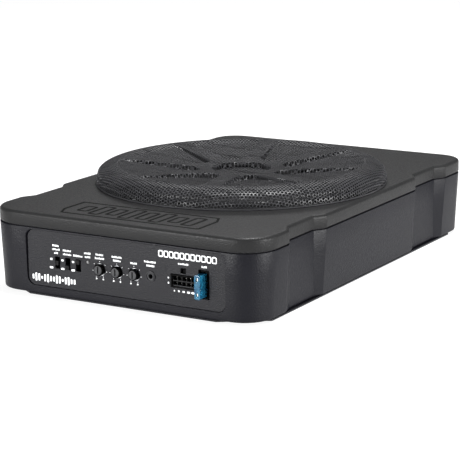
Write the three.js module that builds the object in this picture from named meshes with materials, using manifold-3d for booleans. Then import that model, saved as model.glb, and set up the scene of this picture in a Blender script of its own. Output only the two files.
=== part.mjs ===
// Powered car subwoofer: a shallow sealed box with a round driver under a domed
// mesh grille, and an amplifier behind a control panel set into the front end.
// Millimetres, +Z up. The origin is the middle of the plinth's underside.
// The control panel faces -Y, and +X is to the right as the panel is read.
import * as THREE from "three";
import { mergeVertices } from "three/addons/utils/BufferGeometryUtils.js";
import Module from "manifold-3d";

const wasm = await Module();
wasm.setup();

// Box
const WIDTH = 256;
const FRONT_Y = -188.4;
const REAR_Y = 192.4;
const FRONT_CORNER = 28;
const REAR_CORNER = 23;
const WALL = 3.2;

// Plinth: a rectangle about the origin with its four corners cut off
const PLINTH_HEIGHT = 1.5;
const PLINTH_HALF = [124, 186.4];
const PLINTH_CUT = [36, 23.4];
const PARTING_Z = 56.4;
const LID_TOP = 68;
const GAP = 0.3;

// Strap notches in both long sides: [start of ramp, start of floor, end of floor, end of ramp]
const NOTCH_DEPTH = 6.3;
const FRONT_NOTCH_Y = [-143, -132, -92.5, -82];
const REAR_NOTCH_Y = [82, 92.5, 134, 145.5];

// Driver and grille
const DRIVER_Y = 3;
const SEAT_TOP = 60;
const SEAT_HOLE_RADIUS = 101;
const SEAT_WELL_RADIUS = 118.5;
const GRILLE_RADIUS = 125.2;
const GRILLE_SHELL = 1.5;
const RIB_COUNT = 8;
const RIB_FIRST_DEG = 16.5;
const RIB_WIDTH = 16;
const HUB_RADII = [25, 37];
const RIM_RADIUS = 106;

// Control panel
const PANEL_X = [-88.5, 97];
const PANEL_Z = [8.5, 54];
const PANEL_RADIUS = 7;
const PANEL_FACE_Y = -186.6;
const PANEL_THICKNESS = 2;
const SWITCH_Z = 29.2;
const SWITCHES = [
  { x: -58.9, rest: 0 },
  { x: -48.8, rest: -2.8 },
  { x: -38.7, rest: 2.8 },
];
const SWITCH_SLOT = [4.8, 9.8];
const SLIDER = [3.4, 3.6];
const SLIDER_PROUD = 1.6;
const KNOB_X = [-18.1, -1.9, 14.3];
const KNOB_Z = 28.4;
const KNOB_RADIUS = 4.5;
const KNOB_HOLE_RADIUS = 5.3;
const KNOB_PROUD = 3;
const LED = { x: -29.5, z: 33, radius: 1.5 };
const JACK = { x: 29.7, z: 28.9, ring: 4.3, hole: 1.9 };
const HEADER = { x: [48.2, 71.6], z: [23, 33.3], columns: 5, pitch: 4.2 };
const HEADER_LATCH = { x: [57, 61.8], z: [34.7, 38.9] };
const FUSE_SIZE = [5.1, 12, 19.3];
const FUSE = { x: 76.45, z: 27.6, proud: 8 };
const FUSE_HOLE = { x: [73, 82.6], z: [16.7, 39.7] };

const FRONT_INNER_Y = FRONT_Y + WALL;
const PANEL_BACK_Y = PANEL_FACE_Y + PANEL_THICKNESS;
const FRONT_STIFFENER_Y = -180.5;

// Materials
const material = (color, roughness, metalness = 0) =>
  new THREE.MeshStandardMaterial({ color, roughness, metalness });
const MOULDED_BLACK = material(0x3a3a3c, 0.75);
const MESH_BLACK = material(0x2c2c30, 0.5, 0.4);
const STEEL = material(0x8c8f94, 0.35, 1);
const FERRITE = material(0x2b2b2b, 0.8);
const PAPER = material(0x1f1f20, 0.85);
const RUBBER = material(0x18181a, 0.8);
const COPPER = material(0xb4703a, 0.4, 1);
const BOARD_GREEN = material(0x1f5c38, 0.6);
const ALUMINIUM = material(0xb0b4b8, 0.4, 1);
const CONTROL_BLACK = material(0x151517, 0.5);
const KNOB_GREY = material(0x3b3d40, 0.5);
const FUSE_BLUE = material(0x1f78b4, 0.25);
const LENS_RED = material(0x7a2020, 0.2);
const SPIDER_TAN = material(0xb59455, 0.9);

// ---- Geometry helpers ----------------------------------------------------

// Turns a closed geometry into a solid with its faces pointing out.
function solid(geometry) {
  const bare = geometry.clone();
  bare.deleteAttribute("normal");
  bare.deleteAttribute("uv");
  const merged = mergeVertices(bare, 1e-4);
  const index = Uint32Array.from(merged.index.array);
  const corners = [0, 1, 2].map(() => new THREE.Vector3());
  let volume = 0;
  for (let i = 0; i < index.length; i += 3) {
    corners.forEach((corner, k) => corner.fromBufferAttribute(merged.attributes.position, index[i + k]));
    volume += corners[0].dot(corners[1].cross(corners[2]));
  }
  if (volume < 0) index.reverse();
  const vertProperties = merged.attributes.position.array;
  return new wasm.Manifold(new wasm.Mesh({ numProp: 3, vertProperties, triVerts: index }));
}

const join = (first, ...others) => others.reduce((sum, other) => sum.add(other), first);
const cut = (first, ...others) => others.reduce((rest, other) => rest.subtract(other), first);

function box(x, y, z) {
  const geometry = new THREE.BoxGeometry(x[1] - x[0], y[1] - y[0], z[1] - z[0]);
  geometry.translate((x[0] + x[1]) / 2, (y[0] + y[1]) / 2, (z[0] + z[1]) / 2);
  return solid(geometry);
}

// Upright cylinder at x, y
function post(radius, z, x, y, segments = 12) {
  const geometry = new THREE.CylinderGeometry(radius, radius, z[1] - z[0], segments);
  geometry.rotateX(Math.PI / 2);
  geometry.translate(x, y, (z[0] + z[1]) / 2);
  return solid(geometry);
}

// Cylinder lying along Y at x, z
function rod(radius, y, x, z, segments = 20) {
  const geometry = new THREE.CylinderGeometry(radius, radius, y[1] - y[0], segments);
  geometry.translate(x, (y[0] + y[1]) / 2, z);
  return solid(geometry);
}

// Body turned about the driver's axis. The profile is [radius, height] points,
// and it starts and ends on the axis or closes on itself.
function turned(profile, segments = 32) {
  const closed = profile[0][0] > 0 ? [...profile, profile[0]] : profile;
  const points = closed.map(([radius, height]) => new THREE.Vector2(radius, height));
  const geometry = new THREE.LatheGeometry(points, segments);
  geometry.rotateX(Math.PI / 2);
  geometry.translate(0, DRIVER_Y, 0);
  return solid(geometry);
}

// Outline of the box, moved in from its sides, its ends and the floors of the notches in its sides
function boxOutline(sideInset, endInset, floorInset) {
  const x = WIDTH / 2 - sideInset;
  const floorX = WIDTH / 2 - NOTCH_DEPTH - floorInset;
  const front = FRONT_Y + endInset;
  const rear = REAR_Y - endInset;
  const frontR = FRONT_CORNER - sideInset;
  const rearR = REAR_CORNER - sideInset;
  const side = [FRONT_NOTCH_Y, REAR_NOTCH_Y].flatMap(([start, floorStart, floorEnd, end]) => [
    [x, start], [floorX, floorStart], [floorX, floorEnd], [x, end],
  ]);
  const shape = new THREE.Shape();
  shape.moveTo(-x + frontR, front);
  shape.lineTo(x - frontR, front);
  shape.absarc(x - frontR, front + frontR, frontR, -Math.PI / 2, 0, false);
  side.forEach(([px, py]) => shape.lineTo(px, py));
  shape.absarc(x - rearR, rear - rearR, rearR, 0, Math.PI / 2, false);
  shape.lineTo(-x + rearR, rear);
  shape.absarc(-x + rearR, rear - rearR, rearR, Math.PI / 2, Math.PI, false);
  [...side].reverse().forEach(([px, py]) => shape.lineTo(-px, py));
  shape.absarc(-x + frontR, front + frontR, frontR, Math.PI, 1.5 * Math.PI, false);
  const points = shape.getPoints(3);
  const last = points[points.length - 1];
  if (last.distanceTo(points[0]) < 1e-6) points.pop();
  return points;
}

// Solid through box outlines stacked as [height, side inset, end inset, notch floor inset] levels,
// where a single inset is the same all round
function stacked(levels) {
  const outlines = levels.map(([, side, end = side, floor = side]) => boxOutline(side, end, floor));
  const count = outlines[0].length;
  const positions = [];
  const indices = [];
  levels.forEach(([height], level) => {
    outlines[level].forEach((point) => positions.push(point.x, point.y, height));
  });
  for (let level = 0; level + 1 < levels.length; level += 1) {
    for (let i = 0; i < count; i += 1) {
      const a = level * count + i;
      const b = level * count + ((i + 1) % count);
      indices.push(a, b, b + count, a, b + count, a + count);
    }
  }
  const top = (levels.length - 1) * count;
  THREE.ShapeUtils.triangulateShape(outlines[0], []).forEach(([a, b, c]) => indices.push(c, b, a));
  THREE.ShapeUtils.triangulateShape(outlines[levels.length - 1], []).forEach(([a, b, c]) => {
    indices.push(top + a, top + b, top + c);
  });
  const geometry = new THREE.BufferGeometry();
  geometry.setAttribute("position", new THREE.Float32BufferAttribute(positions, 3));
  geometry.setIndex(indices);
  return solid(geometry);
}

// Rounded rectangle in the XZ plane, thickened along Y
function roundedPlate(x, z, radius, y) {
  const shape = new THREE.Shape();
  shape.moveTo(x[0] + radius, z[0]);
  shape.absarc(x[1] - radius, z[0] + radius, radius, -Math.PI / 2, 0, false);
  shape.absarc(x[1] - radius, z[1] - radius, radius, 0, Math.PI / 2, false);
  shape.absarc(x[0] + radius, z[1] - radius, radius, Math.PI / 2, Math.PI, false);
  shape.absarc(x[0] + radius, z[0] + radius, radius, Math.PI, 1.5 * Math.PI, false);
  const options = { depth: y[1] - y[0], bevelEnabled: false, curveSegments: 4 };
  const geometry = new THREE.ExtrudeGeometry(shape, options);
  geometry.rotateX(Math.PI / 2);
  geometry.translate(0, y[1], 0);
  return solid(geometry);
}

// Upright plate of the given [radius, height] outline, seen from the driver's
// axis and turned about it: a radial rib.
function radialRib(outline, width, degrees) {
  const shape = new THREE.Shape(outline.map(([radius, height]) => new THREE.Vector2(radius, height)));
  const geometry = new THREE.ExtrudeGeometry(shape, { depth: width, bevelEnabled: false });
  geometry.translate(0, 0, -width / 2);
  geometry.rotateX(Math.PI / 2);
  geometry.rotateZ(THREE.MathUtils.degToRad(degrees));
  geometry.translate(0, DRIVER_Y, 0);
  return solid(geometry);
}

const model = new THREE.Group();

function part(name, body, look) {
  const { numProp, vertProperties, triVerts } = body.getMesh();
  const positions = [];
  for (let i = 0; i < vertProperties.length; i += numProp) {
    positions.push(vertProperties[i], vertProperties[i + 1], vertProperties[i + 2]);
  }
  const geometry = new THREE.BufferGeometry();
  geometry.setAttribute("position", new THREE.Float32BufferAttribute(positions, 3));
  geometry.setIndex([...triVerts]);
  geometry.computeVertexNormals();
  const mesh = new THREE.Mesh(geometry, look);
  mesh.name = name;
  model.add(mesh);
}

// ---- Box: enclosure, gasket, cover and their screws ------------------------

const COVER_SCREWS = [-1, 1].flatMap((side) => [
  [side * 107, -160],
  [side * 118, 0],
  [side * 107, 160],
]);
const screwTop = (y) => (y === 0 ? SEAT_TOP - 0.7 : 63);
const BODY_TOP = PARTING_Z - 0.4;
const COVER_BOTTOM = PARTING_Z + 0.8;

function plinth() {
  const [x, y] = PLINTH_HALF;
  const [cutX, cutY] = PLINTH_CUT;
  const shape = new THREE.Shape([
    [x - cutX, -y], [x, -y + cutY], [x, y - cutY], [x - cutX, y],
    [cutX - x, y], [-x, y - cutY], [-x, -y + cutY], [cutX - x, -y],
  ].map(([px, py]) => new THREE.Vector2(px, py)));
  return solid(new THREE.ExtrudeGeometry(shape, { depth: PLINTH_HEIGHT + 0.5, bevelEnabled: false }));
}

function lowerEnclosure() {
  const outer = stacked([
    [PLINTH_HEIGHT, 4.6, 2.7, 1.2], [2.2, 3.8, 1.9, 0.4], [3.6, 3.4, 1.5, 0], [BODY_TOP, 0],
  ]);
  const inner = stacked([
    [WALL + PLINTH_HEIGHT, 8.2, 6.3, 4.8], [9, 6.4, 4.6, WALL], [BODY_TOP + 1, WALL],
  ]);
  const stiffener = box([-96, 104], [FRONT_INNER_Y - 0.5, FRONT_STIFFENER_Y], [4, BODY_TOP - 0.5]);
  const panelRebate = roundedPlate(
    [PANEL_X[0] - GAP, PANEL_X[1] + GAP],
    [PANEL_Z[0] - GAP, PANEL_Z[1] + GAP],
    PANEL_RADIUS + GAP,
    [FRONT_Y - 5, PANEL_BACK_Y + GAP],
  );
  const window = box([-80, 88], [FRONT_Y, FRONT_STIFFENER_Y + 1], [14, 49]);
  const posts = COVER_SCREWS.map(([x, y]) => post(6, [4, BODY_TOP - 0.1], x, y));
  const bores = COVER_SCREWS.flatMap(([x, y]) => [
    post(2.1, [-1, BODY_TOP + 1], x, y),
    post(4.2, [-1, 6], x, y),
  ]);
  const shell = cut(join(outer, plinth()), inner);
  return cut(join(shell, stiffener, ...posts), panelRebate, window, ...bores);
}

function topCover() {
  const outer = stacked([[COVER_BOTTOM, 0], [65.2, 0], [66.6, 0.4], [67.5, 1.3], [LID_TOP, 2.8]]);
  const inner = stacked([[COVER_BOTTOM - 1, WALL], [LID_TOP - WALL, WALL]]);
  const well = turned([
    [SEAT_HOLE_RADIUS, COVER_BOTTOM],
    [SEAT_WELL_RADIUS + 3, COVER_BOTTOM],
    [SEAT_WELL_RADIUS + 3, LID_TOP - 1],
    [SEAT_HOLE_RADIUS, LID_TOP - 1],
  ], 48);
  const opening = turned([[0, 50], [SEAT_HOLE_RADIUS, 50], [SEAT_HOLE_RADIUS, SEAT_TOP],
    [SEAT_WELL_RADIUS, SEAT_TOP], [SEAT_WELL_RADIUS, 70], [0, 70]], 48);
  const corners = COVER_SCREWS.filter(([, y]) => y !== 0);
  const bosses = corners.map(([x, y]) => post(5, [COVER_BOTTOM, LID_TOP - 2], x, y));
  const pilots = COVER_SCREWS.map(([x, y]) => post(1.7, [50, screwTop(y) + GAP], x, y, 12));
  return cut(join(cut(outer, inner), well, ...bosses), opening, ...pilots);
}

part("lower_enclosure", lowerEnclosure(), MOULDED_BLACK);
part("cover_gasket", cut(
  stacked([[BODY_TOP + 0.25, 1.5], [COVER_BOTTOM - 0.25, 1.5]]),
  stacked([[BODY_TOP - 1, WALL], [COVER_BOTTOM + 1, WALL]]),
), RUBBER);
part("top_cover", topCover(), MOULDED_BLACK);
COVER_SCREWS.forEach(([x, y], i) => {
  const head = post(3.5, [3.2, 5.7], x, y, 12);
  part(`cover_screw_${i + 1}`, join(head, post(1.4, [5.5, screwTop(y)], x, y, 8)), STEEL);
});

// ---- Grille ----------------------------------------------------------------

// Heights above the cover: ribs rise slowly from the hub to the rim, and the
// wedge floors between them start level with the rim and fall towards the hub.
const ribTop = (radius) => LID_TOP + 8.1 + 0.0965 * radius - 0.000185 * radius ** 2;
const wedgeDrop = (radius) => 4.2 * Math.min(1, (RIM_RADIUS - radius) / (RIM_RADIUS - HUB_RADII[1]));
const wedgeFloor = (radius) => ribTop(radius) - Math.max(0.02, wedgeDrop(radius));
const DOME_RADII = [HUB_RADII[0], HUB_RADII[1], 70, RIM_RADIUS];

function grille() {
  const rimZ = ribTop(RIM_RADIUS);
  const shoulder = [0, 1, 2].map((step) => {
    const angle = (step * Math.PI) / 6;
    const across = (GRILLE_RADIUS - 1.5 - RIM_RADIUS) * Math.cos(angle);
    return [RIM_RADIUS + across, 76.5 + (rimZ - 76.5) * Math.sin(angle)];
  });
  const hubFloor = wedgeFloor(HUB_RADII[1]) - 0.8;
  const outside = [
    [GRILLE_RADIUS, LID_TOP + GAP], [GRILLE_RADIUS - 0.4, 76],
    ...shoulder,
    ...[...DOME_RADII].reverse().map((radius) => [radius, Math.max(hubFloor, wedgeFloor(radius))]),
    [0, hubFloor],
  ];
  const inside = outside.map(([radius, height], i) => {
    if (i < 2) return [radius - GRILLE_SHELL, height];
    const inward = i < 2 + shoulder.length ? GRILLE_SHELL * (1 - (i - 2) / 4) : 0;
    return [Math.max(0, radius - inward), height - GRILLE_SHELL];
  });
  const shell = turned([[0, hubFloor - GRILLE_SHELL], ...inside.slice(0, -1).reverse(), ...outside], 48);
  const ribRadii = [31, 70, RIM_RADIUS];
  const ribOutline = [
    ...ribRadii.map((radius) => [radius, wedgeFloor(radius) - 0.8]),
    ...[...ribRadii].reverse().map((radius) => [radius, ribTop(radius)]),
  ];
  const ribs = Array.from({ length: RIB_COUNT }, (_, i) =>
    radialRib(ribOutline, RIB_WIDTH, RIB_FIRST_DEG + (i * 360) / RIB_COUNT));
  const hub = turned([
    [HUB_RADII[0], hubFloor - 0.8], [HUB_RADII[1], hubFloor - 0.8],
    [HUB_RADII[1], ribTop(HUB_RADII[1])], [HUB_RADII[0], ribTop(HUB_RADII[0])],
  ], 24);
  return join(shell, hub, ...ribs);
}
part("grille", grille(), MESH_BLACK);

// ---- Driver ------------------------------------------------------------------

const FLANGE = { inner: 100, outer: 116, z: [SEAT_TOP + 1, SEAT_TOP + 3.6] };
const DRIVER_SCREW_CIRCLE = 112.5;
const BASKET_WINDOWS = 6;

function basket() {
  const [flangeBottom, flangeTop] = FLANGE.z;
  const frame = turned([
    [30, 32.3], [64, 32.3], [70, 37.5], [95, 49], [100.5, flangeBottom],
    [FLANGE.outer, flangeBottom], [FLANGE.outer, flangeTop], [97.5, flangeTop],
    [92.5, 51], [68, 39.8], [57, 39.8], [57, 34.5], [30, 34.5],
  ], 40);
  const windows = Array.from({ length: BASKET_WINDOWS }, (_, i) => radialRib(
    [[72, 30], [92, 30], [92, 56], [72, 56]], 46, ((i + 0.5) * 360) / BASKET_WINDOWS));
  const holes = ringPlaces(8, DRIVER_SCREW_CIRCLE, 22.5).map(([x, y]) => post(2.2, [55, 70], x, y, 10));
  return cut(frame, ...windows, ...holes);
}

function ringPlaces(count, radius, firstDegrees) {
  return Array.from({ length: count }, (_, i) => {
    const angle = THREE.MathUtils.degToRad(firstDegrees + (i * 360) / count);
    return [radius * Math.cos(angle), DRIVER_Y + radius * Math.sin(angle)];
  });
}

part("driver_basket", basket(), STEEL);
part("driver_gasket", turned([
  [101.5, SEAT_TOP + 0.2], [110, SEAT_TOP + 0.2], [110, SEAT_TOP + 0.8], [101.5, SEAT_TOP + 0.8],
]), RUBBER);
ringPlaces(8, DRIVER_SCREW_CIRCLE, 22.5).forEach(([x, y], i) => {
  const head = post(3, [FLANGE.z[1] + 0.2, FLANGE.z[1] + 2.2], x, y, 10);
  part(`driver_screw_${i + 1}`, join(head, post(1.8, [SEAT_TOP + 0.2, FLANGE.z[1] + 1], x, y, 8)), STEEL);
});

part("back_plate", turned([[0, 5.2], [56, 5.2], [58, 7], [58, 11], [24.6, 11], [24.6, 32], [0, 32]]), STEEL);
part("magnet", turned([[33, 11.3], [62, 11.3], [62, 25], [33, 25]]), FERRITE);
part("top_plate", turned([[28.4, 25.3], [56, 25.3], [56, 32], [28.4, 32]]), STEEL);
part("voice_coil", turned([[25.6, 20.5], [27.4, 20.5], [27.4, 49.5], [25.6, 49.5]]), COPPER);
part("cone", turned([
  [27.8, 44], [79.8, 60.2], [86, 62.3], [86, 63.6], [79.4, 61.6], [27.8, 45.4],
]), PAPER);
part("dust_cap", turned([
  [0, 54.5], [14, 53.8], [27, 51.6], [36.5, 48.6], [37, 49.6], [28, 53], [14.5, 55.2], [0, 56],
]), PAPER);

// Half-roll surround with a flat lip each side
function surround() {
  const centre = 92.8;
  const base = FLANGE.z[1] + 0.3;
  const roll = (radius, steps) => Array.from({ length: steps + 1 }, (_, i) => {
    const angle = Math.PI * (1 - i / steps);
    return [centre + radius * Math.cos(angle), base + radius * Math.sin(angle)];
  });
  return turned([
    [80.5, base], ...roll(6.2, 5), [108.5, base],
    [108.5, base + 1], ...roll(7.3, 5).map(([r, z]) => [r, Math.max(z, base + 1)]).reverse(), [80.5, base + 1],
  ], 36);
}
part("surround", surround(), RUBBER);

function spider() {
  const waves = Array.from({ length: 6 }, (_, i) => [28.2 + i * 6.9, 41 + (i % 2 ? 0.9 : -0.3)]);
  return turned([...waves, ...[...waves].reverse().map(([r, z]) => [r, z + 0.6])], 30);
}
part("spider", spider(), SPIDER_TAN);
part("driver_terminals", join(
  box([-9, 9], [-103, -96.5], [50, 55.5]),
  box([-7, -4.5], [-109, -102], [52, 53]),
  box([4.5, 7], [-109, -102], [52, 53]),
), CONTROL_BLACK);

// ---- Control panel -------------------------------------------------------------

function controlPanel() {
  const plate = roundedPlate(PANEL_X, PANEL_Z, PANEL_RADIUS, [PANEL_FACE_Y, PANEL_BACK_Y]);
  const through = [PANEL_FACE_Y - 1, PANEL_BACK_Y + 1];
  const [slotWidth, slotHeight] = SWITCH_SLOT;
  const slots = SWITCHES.map(({ x }) => box(
    [x - slotWidth / 2, x + slotWidth / 2],
    through,
    [SWITCH_Z - slotHeight / 2, SWITCH_Z + slotHeight / 2],
  ));
  const knobHoles = KNOB_X.map((x) => rod(KNOB_HOLE_RADIUS, through, x, KNOB_Z));
  const ledHole = rod(LED.radius + GAP, through, LED.x, LED.z, 16);
  const jackHole = rod(JACK.ring - 0.4, through, JACK.x, JACK.z);
  const headerHole = box(
    [HEADER.x[0] - GAP, HEADER.x[1] + GAP], through, [HEADER.z[0] - GAP, HEADER.z[1] + GAP]);
  const latchHole = box(HEADER_LATCH.x, through, HEADER_LATCH.z);
  const fuseHole = box(FUSE_HOLE.x, through, FUSE_HOLE.z);
  return cut(plate, ...slots, ...knobHoles, ledHole, jackHole, headerHole, latchHole, fuseHole);
}
part("control_panel", controlPanel(), MOULDED_BLACK);

const BEHIND_PANEL = PANEL_BACK_Y + GAP;

SWITCHES.forEach(({ x, rest }, i) => {
  const [width, height] = SLIDER;
  const housing = box([x - 3.6, x + 3.6], [BEHIND_PANEL, -178], [SWITCH_Z - 7, SWITCH_Z + 7]);
  const track = box([x - 2, x + 2], [BEHIND_PANEL - 1, -181.5], [SWITCH_Z - 4.9, SWITCH_Z + 4.9]);
  part(`switch_housing_${i + 1}`, cut(housing, track), STEEL);
  const z = SWITCH_Z + rest;
  part(`switch_slider_${i + 1}`, box(
    [x - width / 2, x + width / 2],
    [PANEL_FACE_Y - SLIDER_PROUD, -181.9],
    [z - height / 2, z + height / 2],
  ), CONTROL_BLACK);
});

KNOB_X.forEach((x, i) => {
  part(`pot_body_${i + 1}`, box([x - 6, x + 6], [BEHIND_PANEL, -177.5], [KNOB_Z - 6.5, KNOB_Z + 5.6]), STEEL);
  const cap = rod(KNOB_RADIUS, [PANEL_FACE_Y - KNOB_PROUD, PANEL_BACK_Y - 0.1], x, KNOB_Z, 24);
  const slot = box(
    [x - 0.6, x + 0.6],
    [PANEL_FACE_Y - KNOB_PROUD - 1, PANEL_FACE_Y - KNOB_PROUD + 1],
    [KNOB_Z - 3, KNOB_Z + 3.1],
  );
  part(`knob_${i + 1}`, cut(cap, slot), KNOB_GREY);
});

part("power_led", join(
  rod(LED.radius, [PANEL_FACE_Y - 0.5, BEHIND_PANEL + 1], LED.x, LED.z, 16),
  rod(LED.radius + 0.5, [BEHIND_PANEL, BEHIND_PANEL + 4], LED.x, LED.z, 16),
), LENS_RED);

part("remote_jack", cut(
  join(
    rod(JACK.ring, [PANEL_FACE_Y - 0.9, PANEL_FACE_Y - GAP], JACK.x, JACK.z),
    rod(JACK.ring - 0.8, [PANEL_FACE_Y - 0.5, BEHIND_PANEL + 1], JACK.x, JACK.z),
    box([JACK.x - 5, JACK.x + 5], [BEHIND_PANEL, -174], [JACK.z - 5, JACK.z + 5]),
  ),
  rod(JACK.hole, [PANEL_FACE_Y - 3, -176], JACK.x, JACK.z, 16),
), CONTROL_BLACK);

// Shrouded header with its pins, and the catch window above it
function harnessHeader() {
  const shroud = box(HEADER.x, [PANEL_FACE_Y - 0.4, -172], HEADER.z);
  const socket = box(
    [HEADER.x[0] + 1.2, HEADER.x[1] - 1.2], [PANEL_FACE_Y - 2, -175], [HEADER.z[0] + 1.2, HEADER.z[1] - 1.2]);
  const middleX = (HEADER.x[0] + HEADER.x[1]) / 2;
  const rows = [-1, 1].map((row) => (HEADER.z[0] + HEADER.z[1]) / 2 + row * 2.1);
  const pins = rows.flatMap((z) => Array.from({ length: HEADER.columns }, (_, i) => {
    const x = middleX + (i - (HEADER.columns - 1) / 2) * HEADER.pitch;
    return box([x - 0.5, x + 0.5], [-183, -174.5], [z - 0.5, z + 0.5]);
  }));
  return join(cut(shroud, socket), ...pins);
}
part("harness_header", harnessHeader(), CONTROL_BLACK);

// The holder grips the lower part of a blade fuse, which pulls out along -Y.
const [FUSE_THICKNESS, FUSE_DEPTH, FUSE_SPAN] = FUSE_SIZE;
const FUSE_Y = [PANEL_FACE_Y - FUSE.proud, PANEL_FACE_Y - FUSE.proud + FUSE_DEPTH];

function fuseHolder() {
  const body = box([FUSE_HOLE.x[0] - 0.9, FUSE_HOLE.x[1] + 1.2], [BEHIND_PANEL, -170],
    [FUSE_HOLE.z[0] - 1.2, FUSE_HOLE.z[1] + 1.2]);
  const well = box(
    [FUSE.x - FUSE_THICKNESS / 2 - 0.35, FUSE.x + FUSE_THICKNESS / 2 + 0.35],
    [BEHIND_PANEL - 1, FUSE_Y[1] + 0.6],
    [FUSE.z - FUSE_SPAN / 2 - 0.4, FUSE.z + FUSE_SPAN / 2 + 0.4],
  );
  const clips = [-1, 1].map((side) => box(
    [FUSE.x - 0.8, FUSE.x + 0.8],
    [FUSE_Y[1], -171.5],
    [FUSE.z + side * 6.4 - 3, FUSE.z + side * 6.4 + 3],
  ));
  return cut(body, well, ...clips);
}

function fuse() {
  const body = box(
    [FUSE.x - FUSE_THICKNESS / 2, FUSE.x + FUSE_THICKNESS / 2],
    FUSE_Y,
    [FUSE.z - FUSE_SPAN / 2, FUSE.z + FUSE_SPAN / 2],
  );
  const blades = [-1, 1].map((side) => box(
    [FUSE.x - 0.35, FUSE.x + 0.35],
    [FUSE_Y[1] - 1, FUSE_Y[1] + 6.5],
    [FUSE.z + side * 6.4 - 2.6, FUSE.z + side * 6.4 + 2.6],
  ));
  return join(body, ...blades);
}
part("fuse_holder", fuseHolder(), CONTROL_BLACK);
part("fuse", fuse(), FUSE_BLUE);

// ---- Amplifier -------------------------------------------------------------------

const BOARD_TOP = 15.2;
const BOARD_Y = [-176, -124];
const HEAT_SINK_Y = [-132, -126];

part("amp_board", box([-90, 98], BOARD_Y, [BOARD_TOP - 1.6, BOARD_TOP]), BOARD_GREEN);

function heatSink() {
  const web = box([-60, 60], [HEAT_SINK_Y[1] - 2, HEAT_SINK_Y[1]], [BOARD_TOP + GAP, 44]);
  const fins = Array.from({ length: 12 }, (_, i) => {
    const x = -57 + i * 10;
    return box([x, x + 1.6], [HEAT_SINK_Y[1] - 0.5, HEAT_SINK_Y[1] + 8], [BOARD_TOP + GAP, 44]);
  });
  return join(web, ...fins);
}
part("heat_sink", heatSink(), ALUMINIUM);

[-42, -14, 14, 42].forEach((x, i) => {
  const tab = box([x - 5, x + 5], [HEAT_SINK_Y[0] - 1, HEAT_SINK_Y[1] - 2 - GAP], [22, 37]);
  const legs = [-2.5, 0, 2.5].map((dx) => box(
    [x + dx - 0.4, x + dx + 0.4], [HEAT_SINK_Y[0] + 0.8, HEAT_SINK_Y[0] + 1.6], [BOARD_TOP + GAP, 23]));
  part(`output_transistor_${i + 1}`, join(tab, ...legs), CONTROL_BLACK);
});

[-78, 84].forEach((x, i) => {
  part(`filter_capacitor_${i + 1}`, post(8, [BOARD_TOP + GAP, 42], x, -145), CONTROL_BLACK);
});

function choke() {
  const ring = new THREE.TorusGeometry(9, 4, 8, 18);
  ring.translate(-55, -155, BOARD_TOP + GAP + 4);
  return solid(ring);
}
part("filter_choke", choke(), COPPER);

export default model;
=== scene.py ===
"""Powered car subwoofer: the visual model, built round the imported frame.

Lengths are millimetres, apart from the camera's, the floor's and the lights', which are metres.
+X is to the right as the control panel is read, the panel faces -Y, and +Z is up.
"""
import math
import random
from functools import partial

import bmesh
import bpy
import numpy as np
from mathutils import Matrix, Vector


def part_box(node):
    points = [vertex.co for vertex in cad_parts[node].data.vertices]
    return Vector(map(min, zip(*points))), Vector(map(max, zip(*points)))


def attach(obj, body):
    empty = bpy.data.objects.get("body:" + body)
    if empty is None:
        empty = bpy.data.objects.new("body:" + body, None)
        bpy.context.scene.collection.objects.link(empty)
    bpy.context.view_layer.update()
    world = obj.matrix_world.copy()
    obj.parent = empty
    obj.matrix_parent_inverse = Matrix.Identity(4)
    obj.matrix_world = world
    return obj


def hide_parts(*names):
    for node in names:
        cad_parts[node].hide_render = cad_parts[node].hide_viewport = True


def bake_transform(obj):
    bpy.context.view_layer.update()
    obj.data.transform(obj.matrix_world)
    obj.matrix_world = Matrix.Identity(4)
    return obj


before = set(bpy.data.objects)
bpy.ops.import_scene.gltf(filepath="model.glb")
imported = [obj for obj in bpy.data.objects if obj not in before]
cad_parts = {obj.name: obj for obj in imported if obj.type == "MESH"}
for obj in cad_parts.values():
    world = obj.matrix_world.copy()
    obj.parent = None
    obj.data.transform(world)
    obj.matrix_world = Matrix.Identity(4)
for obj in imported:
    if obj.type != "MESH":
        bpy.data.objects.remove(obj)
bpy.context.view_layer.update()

MM = 0.001
SHELL = "enclosure"
CONE_BODY = "cone_assembly"


def node_box(node):
    """Lowest and highest corner of a CAD node, in millimetres."""
    low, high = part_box(node)
    return np.array(low) / MM, np.array(high) / MM


# ---- Sizes read from the frame, and the few that it doesn't hold -------------------------

tub_high = node_box("lower_enclosure")[1]
lid_low, lid_high = node_box("top_cover")
grille_low, grille_high = node_box("grille")
panel_low, panel_high = node_box("control_panel")
HALF_WIDTH = lid_high[0]
FRONT_Y = lid_low[1]
REAR_Y = lid_high[1]
TUB_TOP = tub_high[2]
LID_BOTTOM = lid_low[2]
LID_TOP = lid_high[2]
DRIVER_Y = (grille_low[1] + grille_high[1]) / 2
GRILLE_RADIUS = (grille_high[0] - grille_low[0]) / 2
PANEL_FACE = panel_low[1]
PANEL_BACK = panel_high[1]
PANEL_CORNER = 7

FRONT_CORNER = 28
REAR_CORNER = 23
WALL = 3.2
NOTCH_DEPTH = 6.3
FRONT_NOTCH = (-143, -132, -92.5, -82)
REAR_NOTCH = (82, 92.5, 134, 145.5)
OPENING = 101
PLINTH = 1.5
PLINTH_HALF = (124, 186.4)
PLINTH_CUT = (36, 23.4)

# ---- Camera --------------------------------------------------------------------------------


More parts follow.
